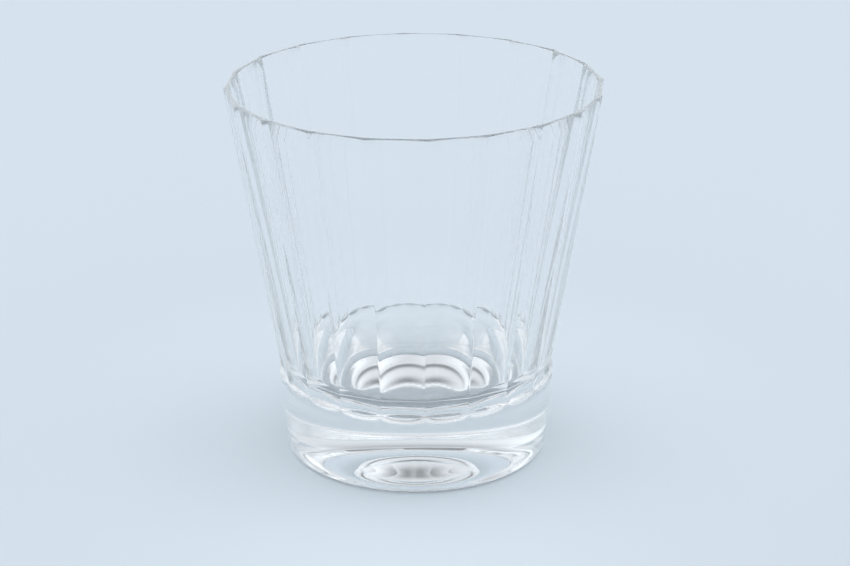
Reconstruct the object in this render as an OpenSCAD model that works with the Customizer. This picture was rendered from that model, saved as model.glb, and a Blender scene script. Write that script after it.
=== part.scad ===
// Faceted bar glass: a short, wide, tapered tumbler in clear glass, made in one piece.
// The wall has flat facets outside and is smooth and round inside, and it stands on a thick round base.
// The origin is the centre of the base on the table, +Z is up, and one ridge of the wall points along +X.

/* [Overall size] */
// Height from the table to the rim
glass_h = 96; // [88:1:104]
// Rim diameter, measured from ridge to opposite ridge
rim_across = 94; // [86:1:102]
// Number of flat facets round the wall
facet_count = 20; // [16:2:24]

/* [Wall] */
// Height of the lower end of the facets above the table
facet_end_h = 22; // [18:0.5:26]
// Diameter from ridge to opposite ridge at the lower end of the facets
facet_end_across = 68.8; // [64:0.2:69.2]
// Thickness of the wall in the middle of a facet, at the rim
rim_wall = 1.1; // [1:0.1:2]
// Thickness of the wall in the middle of a facet, at the lower end of the facets
low_wall = 4.9; // [3:0.1:6]
// Width of the polished bevel on each edge of the rim
rim_bevel = 0.35; // [0.2:0.05:0.45]

/* [Inside] */
// Thickness of solid glass between the table and the lowest point of the inside
floor_h = 15.5; // [12:0.5:18]
// Radius of the ball that gives the inside floor its shallow bowl shape
floor_bowl_r = 56; // [46:2:120]
// Radius of the inside corner between the floor and the wall
floor_corner_r = 7.5; // [6:0.5:12]

/* [Base] */
// Diameter of the round base just below the facets
base_top_d = 69.8; // [69.4:0.2:72]
// Diameter of the round base above its rounded heel
base_low_d = 66.4; // [64:0.2:69]
// Radius of the rounded heel, where the side of the base meets the underside
heel_r = 2.5; // [1.5:0.25:4]
// Diameter of the hollow in the underside
punt_d = 56; // [46:1:56]
// Depth of the hollow in the underside
punt_depth = 6; // [3:0.25:7]
// Radius of the rounded lip that leads from the standing ring into the hollow
punt_lip_r = 23; // [6:1:24]

/* [Hidden] */
$fn = 96;

// Angle between neighbouring ridges, and the share of a ridge's radius that a facet's middle reaches
facet_step = 360 / facet_count;
mid_share = cos(facet_step / 2);

// Distance from the axis to the middle of a facet, and to the inside of the wall, at both ends of the wall
outer_top_mid = rim_across / 2 * mid_share;
outer_low_mid = facet_end_across / 2 * mid_share;
inner_top_r = outer_top_mid - rim_wall;
inner_low_r = outer_low_mid - low_wall;

// Lean of the wall away from the vertical, outside and inside
wall_h = glass_h - facet_end_h;
outer_lean = atan((outer_top_mid - outer_low_mid) / wall_h);
inner_lean = atan((inner_top_r - inner_low_r) / wall_h);

// Lean of the bevels on the rim's edges
bevel_lean = 45;

// Sizes of the blocks that stand for the outside of one facet's plane
block_w = rim_across;
block_depth = rim_across / 2;
block_len = glass_h * 1.5;

// How far a cutting shape runs past the surface that it opens
over = 1;

// Radius of the inside at a height above the table
function inside_r(h) = inner_low_r + (h - facet_end_h) * tan(inner_lean);

// Height of the centres of the bowl's arc and of the corner's arc, which touches the bowl and the wall
bowl_z = floor_h + floor_bowl_r;
wall_offset = inside_r(0) - floor_corner_r / cos(inner_lean);
arc_gap = floor_bowl_r - floor_corner_r;
quad_a = 1 + pow(tan(inner_lean), 2);
quad_b = wall_offset * tan(inner_lean) - bowl_z;
quad_c = pow(wall_offset, 2) + pow(bowl_z, 2) - pow(arc_gap, 2);
corner_z = (-quad_b - sqrt(pow(quad_b, 2) - quad_a * quad_c)) / quad_a;
corner_x = wall_offset + corner_z * tan(inner_lean);

// Where the corner's arc meets the bowl and the wall
bowl_meet_x = corner_x * floor_bowl_r / arc_gap;
bowl_meet_z = bowl_z + (corner_z - bowl_z) * floor_bowl_r / arc_gap;
wall_meet_x = corner_x + floor_corner_r * cos(inner_lean);
wall_meet_z = corner_z - floor_corner_r * sin(inner_lean);

// The crown of the hollow and its lip are two arcs that run smoothly into each other and into the standing ring
punt_r = punt_d / 2;
punt_arcs_r = (pow(punt_r, 2) + pow(punt_depth, 2)) / (2 * punt_depth);
crown_r = punt_arcs_r - punt_lip_r;
crown_share = crown_r / punt_arcs_r;
punt_meet_x = punt_r * crown_share;
punt_meet_z = punt_depth - crown_r + (punt_arcs_r - punt_depth) * crown_share;

// Repeats a shape once for every facet, turned to face the facet's middle
module each_facet() {
    for (i = [0 : facet_count - 1]) {
        rotate([0, 0, (i + 0.5) * facet_step])
            children();
    }
}

// Everything outside a plane that passes mid_r from the axis at height h and leans outwards
module outside_plane(mid_r, h, lean) {
    translate([mid_r, 0, h])
        rotate([0, lean, 0])
            translate([0, -block_w / 2, 0])
                cube([block_depth, block_w, block_len]);
}

// Half outline of the round blank that the facets are cut from
module blank_outline() {
    heel_x = base_low_d / 2 - heel_r;
    translate([heel_x, heel_r])
        circle(r = heel_r);
    polygon([
        [0, 0],
        [heel_x, 0],
        [heel_x, heel_r],
        [base_low_d / 2, heel_r],
        [base_top_d / 2, facet_end_h],
        [rim_across / 2 + over, glass_h],
        [0, glass_h]
    ]);
}

// Half outline of the lowest part of the inside: a slice of the bowl's ball
module bowl_outline() {
    intersection() {
        translate([0, bowl_z])
            circle(r = floor_bowl_r);
        translate([0, floor_h - over])
            square([bowl_meet_x, bowl_meet_z - floor_h + 2 * over]);
    }
}

// Half outline of the inside: bowl-shaped floor, rounded corner and leaning wall
module cavity_outline() {
    top_z = glass_h + over;
    bowl_outline();
    translate([corner_x, corner_z])
        circle(r = floor_corner_r);
    polygon([
        [0, bowl_meet_z],
        [bowl_meet_x, bowl_meet_z],
        [corner_x, corner_z],
        [wall_meet_x, wall_meet_z],
        [inside_r(top_z), top_z],
        [0, top_z]
    ]);
}

// Bevel on the inner edge of the rim, which opens the inside a little wider at the top
module inner_rim_bevel() {
    foot_r = inner_top_r - rim_bevel;
    rise = 2 * rim_bevel + over;
    translate([0, 0, glass_h - 2 * rim_bevel])
        cylinder(r1 = foot_r, r2 = foot_r + rise * tan(bevel_lean), h = rise);
}

// Bevel on the outer edge of the rim
module outer_rim_bevel() {
    each_facet()
        outside_plane(outer_top_mid + rim_bevel, glass_h - 2 * rim_bevel, -bevel_lean);
}

// Half outline of the hollow in the underside: a domed crown and a rounded lip
module punt_outline() {
    intersection() {
        translate([0, punt_depth - crown_r])
            circle(r = crown_r);
        translate([0, -over])
            square([punt_meet_x, punt_depth + 2 * over]);
    }
    difference() {
        translate([punt_meet_x - over, -over])
            square([punt_r - punt_meet_x + over, punt_meet_z + over]);
        translate([punt_r, punt_lip_r])
            circle(r = punt_lip_r);
    }
}

// The whole glass
module glass_body() {
    color([0.86, 0.92, 0.94, 0.45])
        difference() {
            rotate_extrude()
                blank_outline();
            each_facet()
                outside_plane(outer_low_mid, facet_end_h, outer_lean);
            rotate_extrude()
                cavity_outline();
            inner_rim_bevel();
            outer_rim_bevel();
            rotate_extrude()
                punt_outline();
        }
}

glass_body();
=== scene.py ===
"""Looks for the faceted mixing glass: one piece of clear glass on a pale floor, in soft studio light."""

import math

import bpy
import numpy as np
from mathutils import Matrix, Vector


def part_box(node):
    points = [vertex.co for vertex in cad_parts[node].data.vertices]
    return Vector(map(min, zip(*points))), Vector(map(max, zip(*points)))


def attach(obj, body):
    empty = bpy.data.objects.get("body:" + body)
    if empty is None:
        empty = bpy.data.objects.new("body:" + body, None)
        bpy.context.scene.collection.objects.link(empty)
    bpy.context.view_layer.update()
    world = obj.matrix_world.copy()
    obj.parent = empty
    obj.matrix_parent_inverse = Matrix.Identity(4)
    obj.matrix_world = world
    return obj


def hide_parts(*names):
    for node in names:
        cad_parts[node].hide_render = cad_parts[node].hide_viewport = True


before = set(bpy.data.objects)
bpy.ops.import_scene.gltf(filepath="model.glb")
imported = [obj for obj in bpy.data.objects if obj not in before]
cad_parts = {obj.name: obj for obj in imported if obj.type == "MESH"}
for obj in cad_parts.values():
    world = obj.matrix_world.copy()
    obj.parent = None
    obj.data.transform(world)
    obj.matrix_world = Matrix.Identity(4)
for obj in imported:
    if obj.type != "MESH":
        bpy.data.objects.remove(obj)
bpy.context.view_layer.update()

MM = 0.001  # a millimetre in Blender's metres
NODE = "glass_body"

# ---------------------------------------------------------------- sizes of the glass, in millimetres
top_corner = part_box(NODE)[1]
GLASS_H = top_corner.z / MM  # height from the table to the rim
RIM_R = top_corner.x / MM  # rim radius on a ridge, which points along +X
FACETS = 20

FACET_END_H = 22.0  # height of the lower end of the facets
FACET_END_R = 34.4  # radius on a ridge there, before the ridge is rounded
FACET_HOLLOW = 0.25  # how far the middle of a facet is hollowed
RIDGE_ROUND = 0.4  # radius of the ridges' edges
RIM_WALL = 1.12  # wall thickness at the rim, in the middle of a facet before it is hollowed
LOW_WALL = 4.9  # the same at the facets' lower end
RIM_ROUND_H = 0.3  # height of the fire-polished round of the rim
SHOULDER_H = 0.7  # height over which the facets run out into the round base
BASE_TOP_R = 34.95  # radius of the round base under the shoulder
BASE_LOW_R = 33.2  # radius of the round base above its heel
HEEL_R = 2.5  # radius of the heel
FLOOR_H = 15.5  # thickness of the solid glass under the inside
FLOOR_BOWL_R = 56.0  # radius of the bowl shape of that floor
FLOOR_CORNER_R = 7.5  # radius of the inside corner between floor and wall
PUNT_R = 28.0  # radius of the hollow in the underside
PUNT_DEPTH = 6.0  # its depth
PUNT_LIP_R = 23.0  # radius of its rounded lip, which runs into its domed crown

FACET_STEP = 2 * math.pi / FACETS  # angle between neighbouring ridges
MID_SHARE = math.cos(FACET_STEP / 2)  # share of a ridge's radius that the middle of a facet reaches

# ---------------------------------------------------------------- points along each stretch of the skin
CROWN_POINTS = 22
LIP_POINTS = 14
STANDING_RING_POINTS = 5
HEEL_POINTS = 19
BASE_SIDE_POINTS = 9
SHOULDER_POINTS = 9
WALL_POINTS = 22  # outside, and again inside
RIM_POINTS = 15
FLOOR_BOWL_POINTS = 20
FLOOR_CORNER_POINTS = 40
FACET_POINTS = 16  # round the glass, for each facet

# ---------------------------------------------------------------- clear glass, with details in millimetres
GLASS_IOR = 1.52
STREAK_SIZE = 9.0  # width of the soft streaks up the wall
STREAK_ALONG = 0.08  # how fine they are along the height, against sideways: a low value draws them out
UNEVEN_SIZE = 20.0  # size of the gentle unevenness everywhere
WAVE_DEPTH = 0.008  # depth of the streaks and the unevenness
WEAR_H = 0.3  # height above the table at which the wear has faded out
WEAR_SIZE = 0.6  # size of the scratches and dust
WEAR_ROUGHNESS = 0.25  # the most roughness that they give
ABSORB = 4.0  # how strongly the glass takes up light, per metre
ABSORB_COLOUR = (0.64, 0.68, 0.69)  # the lower a channel, the more of it the glass takes up
BOUNCES = 400  # light can turn back inside the glass many times before it leaves

# ---------------------------------------------------------------- pale floor, with lengths in millimetres
STAGE_HALF_W = 4000.0  # half the width of the square
STAGE_DROP = 0.1  # how far it lies below the standing ring
STAGE_ROUGHNESS = 0.9
STAGE_SHEEN = 0.1  # how much it reflects, where 0.5 is usual
STAGE_COLOUR = (0.695, 0.75, 0.80)
STAGE_PAINTED_POOL_COLOUR = (0.795, 0.865, 0.915)  # painted pool of light: the floor's colour, made lighter round the glass
PAINTED_POOL_R = (30.0, 140.0)  # where the painted pool of light starts to fade, and where it ends

# ---------------------------------------------------------------- camera, in degrees and in rim radii
CAMERA_PITCH = 20.82  # how far it looks down
CAMERA_TURN = -3.80  # its turn round the glass's axis, counterclockwise from above
CAMERA_ROLL = -0.28
CAMERA_DISTANCE = 14.00
CAMERA_SIDE = 0.050  # how far it stands to the right of the axis
CAMERA_AIM = 1.121  # how far below the rim it aims
CAMERA_SENSOR = 36.0  # millimetres
CAMERA_LENS = 110.1  # millimetres
CAMERA_REACH = 50  # metres

# ---------------------------------------------------------------- studio light
# An even surround with three wide, soft lights in it and one dark screen, whose strength is negative.
# An azimuth of 0 is behind the glass and 90 is to its right, and a high sharpness makes a small light.
SURROUND = (0.79, 0.83, 0.87)
LIGHTS = [  # azimuth and elevation in degrees, sharpness, strength
    (0, 48, 20, -0.85),
    (90, 60, 12, 1.2),
    (270, 60, 12, 0.65),
    (315, 30, 8, 0.5),
]


def smooth_step(t):
    """Goes smoothly from 0 to 1 as t does."""
    t = np.clip(t, 0, 1)
    return t * t * (3 - 2 * t)


def soft_min(a, b, width):
    """The smaller of a and b, rounded off where they differ by less than width."""
    near = np.clip(1 - np.abs(a - b) / width, 0, 1)
    return np.minimum(a, b) - near**2 * width / 4


def facet_angles():
    """Angles round the axis: close together at the ridges, where the surface turns, and wide on the flats."""
    u = np.linspace(-1, 1, FACET_POINTS, endpoint=False)
    from_mid = np.sign(u) * (1 - (1 - np.abs(u)) ** 2) * FACET_STEP / 2
    middles = (np.arange(FACETS) + 0.5) * FACET_STEP
    return (middles[:, None] + from_mid[None, :]).ravel()


def facet_r(angle, mid_r):
    """Radius of a polygon with rounded corners and hollowed sides, which were mid_r away when flat."""
    half = FACET_STEP / 2
    phi = half - np.abs((angle + half) % FACET_STEP - half)  # angle from the middle of the facet

    def side(a):
        return mid_r / np.cos(a) + FACET_HOLLOW * ((a / half) ** 2 - 1)

    slope = math.tan(half) + 2 * FACET_HOLLOW / (mid_r * half)
    blend = 2 * slope**2 * RIDGE_ROUND  # rounds the ridge to that radius
    return soft_min(side(phi), side(FACET_STEP - phi), blend)


def wall_r(z, top, end):
    """Radius at height z on a straight wall with radius top at the rim and end at the facets' lower end."""
    return end + (z - FACET_END_H) * (top - end) / (GLASS_H - FACET_END_H)


def outer_r(angle, z):
    """Outer radius of the faceted wall."""
    return facet_r(angle, wall_r(z, RIM_R * MID_SHARE, FACET_END_R * MID_SHARE))


def inner_r(z):
    """Inner radius of the wall, which is round."""
    return wall_r(z, RIM_R * MID_SHARE - RIM_WALL, FACET_END_R * MID_SHARE - LOW_WALL)


def arc(cx, cz, r, start, stop, count):
    """Points on an arc in the (radius, height) plane, with angles in degrees from the outward direction."""
    a = np.radians(np.linspace(start, stop, count))
    return [(cx + r * math.cos(t), cz + r * math.sin(t)) for t in a]


def underside_outline():
    """Hollow, standing ring, heel and side of the base, from the axis outwards and up."""
    both = (PUNT_R**2 + PUNT_DEPTH**2) / (2 * PUNT_DEPTH)  # the radii of crown and lip together
    crown = both - PUNT_LIP_R
    meet = math.degrees(math.asin(PUNT_R / both))
    points = arc(0, PUNT_DEPTH - crown, crown, 90, 90 - meet, CROWN_POINTS)[1:]
    points += arc(PUNT_R, PUNT_LIP_R, PUNT_LIP_R, 270 - meet, 270, LIP_POINTS)[1:]
    heel_x = BASE_LOW_R - HEEL_R
    points += [(r, 0.0) for r in np.linspace(PUNT_R, heel_x, STANDING_RING_POINTS)[1:-1]]
    points += arc(heel_x, HEEL_R, HEEL_R, -90, 0, HEEL_POINTS)
    side_h = FACET_END_H - SHOULDER_H - HEEL_R
    for t in np.linspace(0, 1, BASE_SIDE_POINTS)[1:]:
        points.append((BASE_LOW_R + (BASE_TOP_R - BASE_LOW_R) * t, HEEL_R + side_h * t))
    return points


def cavity_outline():
    """Bowl-shaped floor and rounded corner of the inside, from the axis outwards and up."""
    slope = (inner_r(GLASS_H) - inner_r(0)) / GLASS_H
    lean = math.atan(slope)
    start = inner_r(0) - FLOOR_CORNER_R / math.cos(lean)
    bowl_z = FLOOR_H + FLOOR_BOWL_R
    # the corner's arc touches both the bowl and the wall: its centre (cx, cz) solves a quadratic
    a, b = 1 + slope**2, start * slope - bowl_z
    c = start**2 + bowl_z**2 - (FLOOR_BOWL_R - FLOOR_CORNER_R) ** 2
    cz = (-b - math.sqrt(b**2 - a * c)) / a
    cx = start + slope * cz
    meet = math.degrees(math.atan2(cz - bowl_z, cx))
    points = arc(0, bowl_z, FLOOR_BOWL_R, -90, meet, FLOOR_BOWL_POINTS)[1:-1]
    points += arc(cx, cz, FLOOR_CORNER_R, meet, -math.degrees(lean), FLOOR_CORNER_POINTS)
    return points


def glass_rings():
    """The whole skin as rings of points: hollow, base, shoulder, wall, rim, inside wall and floor."""
    angle = facet_angles()
    ones = np.ones_like(angle)
    rings = []

    def add(r, z):
        rings.append(np.stack([r * np.cos(angle), r * np.sin(angle), z * ones], -1))

    for r, z in underside_outline():
        add(r, z)
    # shoulder: the round base runs into the facets
    for t in np.linspace(0, 1, SHOULDER_POINTS)[1:]:
        z = FACET_END_H - SHOULDER_H * (1 - t)
        wall = outer_r(angle, z)
        add(BASE_TOP_R * (1 - smooth_step(t)) + wall * smooth_step(t), z)
    rim_z = GLASS_H - RIM_ROUND_H
    for z in np.linspace(FACET_END_H, rim_z, WALL_POINTS)[1:]:
        add(outer_r(angle, z), z)
    # rim: half an ellipse from the outer to the inner surface
    outside = outer_r(angle, rim_z)
    inside = inner_r(rim_z)
    for t in np.radians(np.linspace(0, 180, RIM_POINTS)[1:]):
        r = (outside + inside) / 2 + (outside - inside) / 2 * math.cos(t)
        add(r, rim_z + RIM_ROUND_H * math.sin(t))
    corner = cavity_outline()
    wall_foot_z = corner[-1][1]
    for z in np.linspace(rim_z, wall_foot_z, WALL_POINTS)[1:-1]:
        add(inner_r(z), z)
    for r, z in reversed(corner):
        add(r, z)
    return np.array(rings) * MM


def skin_mesh(name, rings, low_pole, high_pole):
    """A closed mesh from rings of points, with a point at each end on the axis."""
    count, around, _ = rings.shape
    verts = np.concatenate([rings.reshape(-1, 3), [low_pole], [high_pole]])
    low_index, high_index = count * around, count * around + 1
    nxt = np.roll(np.arange(around), -1)
    faces = []
    for j in range(around):
        faces.append((low_index, nxt[j], j))
    for i in range(count - 1):
        a, b = i * around, (i + 1) * around
        for j in range(around):
            faces.append((a + j, a + nxt[j], b + nxt[j], b + j))
    top = (count - 1) * around
    for j in range(around):
        faces.append((top + j, top + nxt[j], high_index))
    mesh = bpy.data.meshes.new(name)
    mesh.from_pydata(verts.tolist(), [], faces)
    mesh.update()
    mesh.shade_smooth()
    return mesh


def new_material(name):
    """A material with nodes, and the parts that are worked on: its nodes, its links and its main shader."""
    mat = bpy.data.materials.new(name)
    mat.use_nodes = True
    nodes, links = mat.node_tree.nodes, mat.node_tree.links
    return mat, nodes, links, nodes["Principled BSDF"]


def sums(nodes, links, operation, a, b):
    """One sum of two values, each of which is a number or another node's output."""
    node = nodes.new("ShaderNodeMath")
    node.operation = operation
    for socket, value in zip(node.inputs, (a, b)):
        if isinstance(value, bpy.types.NodeSocket):
            links.new(value, socket)
        else:
            socket.default_value = value
    return node.outputs[0]


def clear_glass():
    """Clear glass with a slight tint: faintly wavy from its mould, and finely worn where it stands."""
    mat, nodes, links, shader = new_material("clear_glass")
    shader.inputs["Transmission Weight"].default_value = 1.0
    shader.inputs["IOR"].default_value = GLASS_IOR
    shader.inputs["Base Color"].default_value = (1, 1, 1, 1)
    place = nodes.new("ShaderNodeTexCoord")

    def noise(size, detail, along=1.0):
        """Noise with blobs of about the given size, drawn out along the height by 1 / along."""
        shape = nodes.new("ShaderNodeVectorMath")
        shape.operation = "MULTIPLY"
        shape.inputs[1].default_value = (1, 1, along)
        links.new(place.outputs["Object"], shape.inputs[0])
        texture = nodes.new("ShaderNodeTexNoise")
        texture.inputs["Scale"].default_value = 1 / (size * MM)
        texture.inputs["Detail"].default_value = detail
        links.new(shape.outputs[0], texture.inputs["Vector"])
        return texture.outputs["Fac"]

    # waviness: soft streaks up the wall, and a gentle unevenness everywhere
    streaks = noise(STREAK_SIZE, detail=1.0, along=STREAK_ALONG)
    uneven = noise(UNEVEN_SIZE, detail=2.0)
    bump = nodes.new("ShaderNodeBump")
    bump.inputs["Strength"].default_value = 1.0
    bump.inputs["Distance"].default_value = WAVE_DEPTH * MM
    links.new(sums(nodes, links, "ADD", streaks, uneven), bump.inputs["Height"])
    links.new(bump.outputs[0], shader.inputs["Normal"])

    # wear: fine scratches and dust on the standing ring, fading out just above it
    height = nodes.new("ShaderNodeSeparateXYZ")
    links.new(place.outputs["Object"], height.inputs[0])
    low_down = nodes.new("ShaderNodeMapRange")
    low_down.inputs["From Min"].default_value = WEAR_H * MM
    low_down.inputs["From Max"].default_value = 0.0
    links.new(height.outputs["Z"], low_down.inputs["Value"])
    worn = sums(nodes, links, "MULTIPLY", low_down.outputs[0], noise(WEAR_SIZE, detail=4.0))
    links.new(sums(nodes, links, "MULTIPLY", worn, WEAR_ROUGHNESS), shader.inputs["Roughness"])

    tint = nodes.new("ShaderNodeVolumeAbsorption")
    tint.inputs["Color"].default_value = (*ABSORB_COLOUR, 1)
    tint.inputs["Density"].default_value = ABSORB
    links.new(tint.outputs[0], nodes["Material Output"].inputs["Volume"])
    return mat


def make_glass():
    """The polished glass, which stands for the CAD node."""
    mesh = skin_mesh(NODE + "_skin", glass_rings(), (0, 0, PUNT_DEPTH * MM), (0, 0, FLOOR_H * MM))
    glass = bpy.data.objects.new("glass_body_polished", mesh)
    bpy.context.scene.collection.objects.link(glass)
    mesh.materials.append(clear_glass())
    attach(glass, "root")
    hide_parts(NODE)


def pale_floor():
    """Matt floor, with a painted pool of light: its colour is lighter in a soft pool round the glass."""
    mat, nodes, links, shader = new_material("pale_floor")
    place = nodes.new("ShaderNodeTexCoord")
    away = nodes.new("ShaderNodeVectorMath")
    away.operation = "LENGTH"
    links.new(place.outputs["Object"], away.inputs[0])
    # painted pool of light: the floor's colour is lighter near the glass and fades to its own colour further
    # out
    painted_pool = nodes.new("ShaderNodeMapRange")
    painted_pool.interpolation_type = "SMOOTHSTEP"
    painted_pool.inputs["From Min"].default_value = PAINTED_POOL_R[0] * MM
    painted_pool.inputs["From Max"].default_value = PAINTED_POOL_R[1] * MM
    links.new(away.outputs["Value"], painted_pool.inputs["Value"])
    tone = nodes.new("ShaderNodeMix")
    tone.data_type = "RGBA"
    factor, near, far = tone.inputs[0], tone.inputs[6], tone.inputs[7]  # 6 and 7 are its colours
    near.default_value = (*STAGE_PAINTED_POOL_COLOUR, 1)
    far.default_value = (*STAGE_COLOUR, 1)
    links.new(painted_pool.outputs["Result"], factor)
    mixed = tone.outputs[2]  # its colour result
    links.new(mixed, shader.inputs["Base Color"])
    shader.inputs["Roughness"].default_value = STAGE_ROUGHNESS
    shader.inputs["Specular IOR Level"].default_value = STAGE_SHEEN
    return mat


def make_floor():
    """One wide square under the glass, which belongs to the stage and not to the part."""
    mesh = bpy.data.meshes.new("floor")
    s = STAGE_HALF_W * MM
    mesh.from_pydata([(-s, -s, 0), (s, -s, 0), (s, s, 0), (-s, s, 0)], [], [(0, 1, 2, 3)])
    mesh.materials.append(pale_floor())
    floor = bpy.data.objects.new("floor", mesh)
    floor.location.z = -STAGE_DROP * MM
    bpy.context.scene.collection.objects.link(floor)


def make_camera():
    """A long lens, well above the rim and in front of the glass, looking down at it."""
    unit = RIM_R * MM
    pitch = math.radians(CAMERA_PITCH)
    distance = CAMERA_DISTANCE * unit
    aim_z = GLASS_H * MM - CAMERA_AIM * unit
    place = Vector((CAMERA_SIDE * unit, -distance * math.cos(pitch), distance * math.sin(pitch) + aim_z))
    turn = Matrix.Rotation(math.radians(CAMERA_TURN), 4, "Z")
    tilt = Matrix.Rotation(math.pi / 2 - pitch, 4, "X")
    roll = Matrix.Rotation(math.radians(CAMERA_ROLL), 4, "Z")
    data = bpy.data.cameras.new("camera")
    data.sensor_width = CAMERA_SENSOR
    data.lens = CAMERA_LENS
    data.clip_end = CAMERA_REACH
    camera = bpy.data.objects.new("camera", data)
    camera.matrix_world = turn @ Matrix.Translation(place) @ tilt @ roll
    bpy.context.scene.collection.objects.link(camera)
    bpy.context.scene.camera = camera


def make_light():
    """The studio as a world background: lights and the dark screen fade out round their middles."""
    scene = bpy.context.scene
    world = bpy.data.worlds.new("studio")
    scene.world = world
    world.use_nodes = True
    nodes, links = world.node_tree.nodes, world.node_tree.links
    back = nodes["Background"]
    back.inputs["Color"].default_value = (*SURROUND, 1)
    place = nodes.new("ShaderNodeTexCoord")

    total = 1.0
    for azimuth, elevation, sharpness, strength in LIGHTS:
        a, e = math.radians(azimuth), math.radians(elevation)
        facing = nodes.new("ShaderNodeVectorMath")
        facing.operation = "DOT_PRODUCT"
        facing.inputs[1].default_value = (math.sin(a) * math.cos(e), math.cos(a) * math.cos(e), math.sin(e))
        links.new(place.outputs["Generated"], facing.inputs[0])
        towards = sums(nodes, links, "MAXIMUM", facing.outputs["Value"], 0.0)
        fade = sums(nodes, links, "POWER", towards, sharpness)
        total = sums(nodes, links, "ADD", sums(nodes, links, "MULTIPLY", fade, strength), total)
    links.new(total, back.inputs["Strength"])
    scene.view_settings.view_transform = "Standard"
    scene.cycles.max_bounces = BOUNCES
    scene.cycles.transmission_bounces = BOUNCES
    scene.cycles.glossy_bounces = BOUNCES


make_camera()
make_light()
make_floor()
make_glass()
